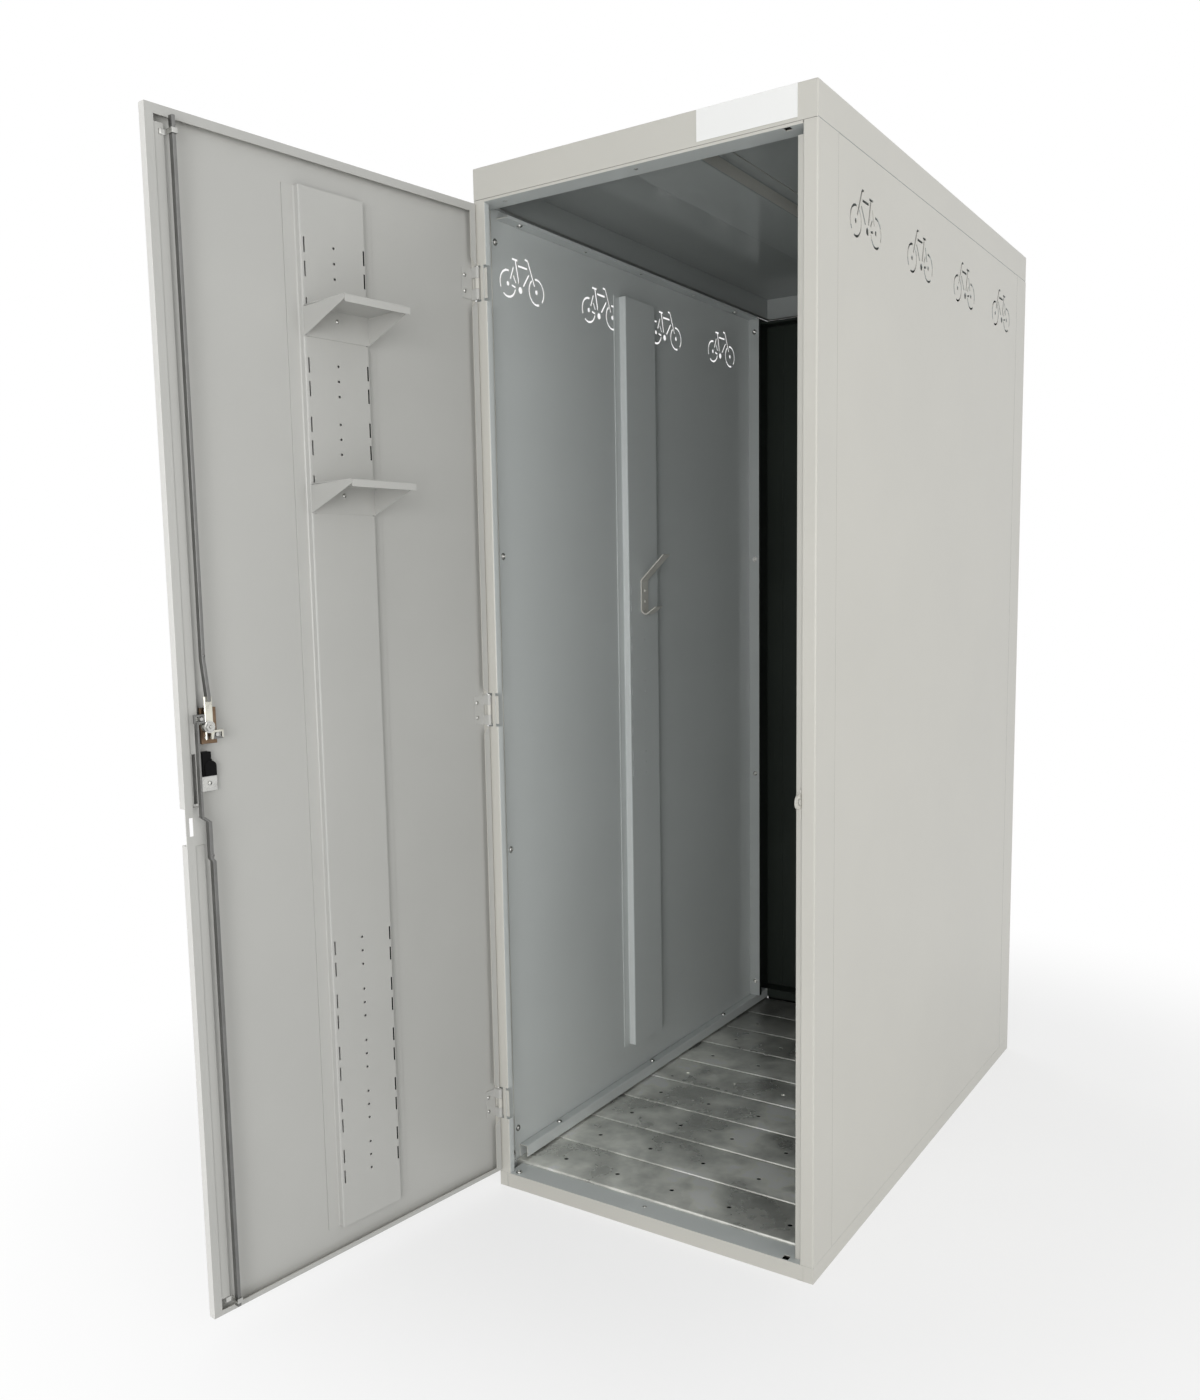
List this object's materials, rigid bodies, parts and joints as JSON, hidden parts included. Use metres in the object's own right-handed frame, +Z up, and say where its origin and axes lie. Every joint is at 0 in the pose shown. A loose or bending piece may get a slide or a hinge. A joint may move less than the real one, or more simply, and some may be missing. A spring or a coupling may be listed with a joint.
{
  "type": "bicycle locker",
  "caption": "Upright folded steel locker for one bicycle, with a perforated channel and shelves on its hinged door, a rod lock, a plank floor and bicycle-shaped vents.",
  "frame": {"origin": "on the ground under the middle of the cabinet, on the underside of the base cross rail", "axes": "+Z up, +X to the right and +Y to the back as one faces the door; the door stands open as in the picture"},
  "size_m": [0.8066, 1.9723, 2.03],
  "materials": {
    "powder_coat": "light grey powder coat, satin gloss with fine orange peel",
    "galvanised": "hot-dip galvanised sheet, mottled",
    "zinc_steel": "bright zinc plated steel",
    "yellow_zinc": "yellow chromate zinc plate",
    "black_plastic": "black moulded nylon",
    "white_plate": "bare white enamelled plate"
  },
  "bodies": {
    "cabinet": {"sill_front": "powder_coat", "sill_rear": "powder_coat", "sill_left": "powder_coat", "sill_right": "powder_coat", "base_cross_rail": "galvanised", "floor_plank_1": "galvanised", "floor_plank_2": "galvanised", "floor_plank_3": "galvanised", "floor_plank_4": "galvanised", "floor_plank_5": "galvanised", "floor_plank_6": "galvanised", "floor_plank_7": "galvanised", "floor_plank_8": "galvanised", "floor_plank_9": "galvanised", "post_front_left": "powder_coat", "post_front_right": "powder_coat", "post_rear_left": "powder_coat", "post_rear_right": "powder_coat", "header_front": "powder_coat", "header_rear": "powder_coat", "top_rail_left": "powder_coat", "top_rail_right": "powder_coat", "roof_cap": "powder_coat", "roof_stiffener": "powder_coat", "sign_plate": "white_plate", "side_panel_left": "powder_coat", "side_panel_right": "powder_coat", "rear_panel": "powder_coat", "wall_channel": "powder_coat", "coat_hook": "powder_coat", "padlock_eye": "powder_coat", "hinge_frame_leaf_1": "powder_coat", "hinge_frame_leaf_2": "powder_coat", "hinge_frame_leaf_3": "powder_coat", "hinge_pin_1": "zinc_steel", "hinge_pin_2": "zinc_steel", "hinge_pin_3": "zinc_steel"},
    "door": {"door_pan": "powder_coat", "door_edge_stiffener": "powder_coat", "door_channel": "powder_coat", "shelf_lower": "powder_coat", "shelf_upper": "powder_coat", "hinge_door_leaf_1": "powder_coat", "hinge_door_leaf_2": "powder_coat", "hinge_door_leaf_3": "powder_coat", "rod_guide_lower": "zinc_steel", "rod_guide_upper": "zinc_steel", "lock_bracket": "yellow_zinc", "handle_plate": "black_plastic", "handle_clamp": "zinc_steel"},
    "handle": {"handle_lever": "black_plastic", "handle_spindle": "zinc_steel", "lock_cam": "zinc_steel", "spindle_nut": "zinc_steel"},
    "upper_rod": {"upper_rod": "zinc_steel"},
    "lower_rod": {"lower_rod": "zinc_steel"}
  },
  "joints": [
    {"name": "door_hinge", "type": "hinge", "parent": "cabinet", "child": "door", "pos_m": [-0.343, -0.653, 1], "axis": [0, 0, -1], "range_deg": [-97.48, 10]},
    {"name": "handle_turn", "type": "hinge", "parent": "door", "child": "handle", "pos_m": [-0.42527, -1.27962, 1.028], "axis": [0.9915, -0.1302, 0], "range_deg": [0, 90]},
    {"name": "upper_rod_slide", "type": "slide", "parent": "door", "child": "upper_rod", "axis": [0, 0, 1], "range_m": [0, 0.02687]},
    {"name": "lower_rod_slide", "type": "slide", "parent": "door", "child": "lower_rod", "axis": [0, 0, -1], "range_m": [0, 0.02687]}
  ],
  "couplings": [
    {"joint": "handle_turn", "follows": "upper_rod_slide", "rad_per_m": 58.459},
    {"joint": "lower_rod_slide", "follows": "upper_rod_slide", "ratio": 1}
  ]
}
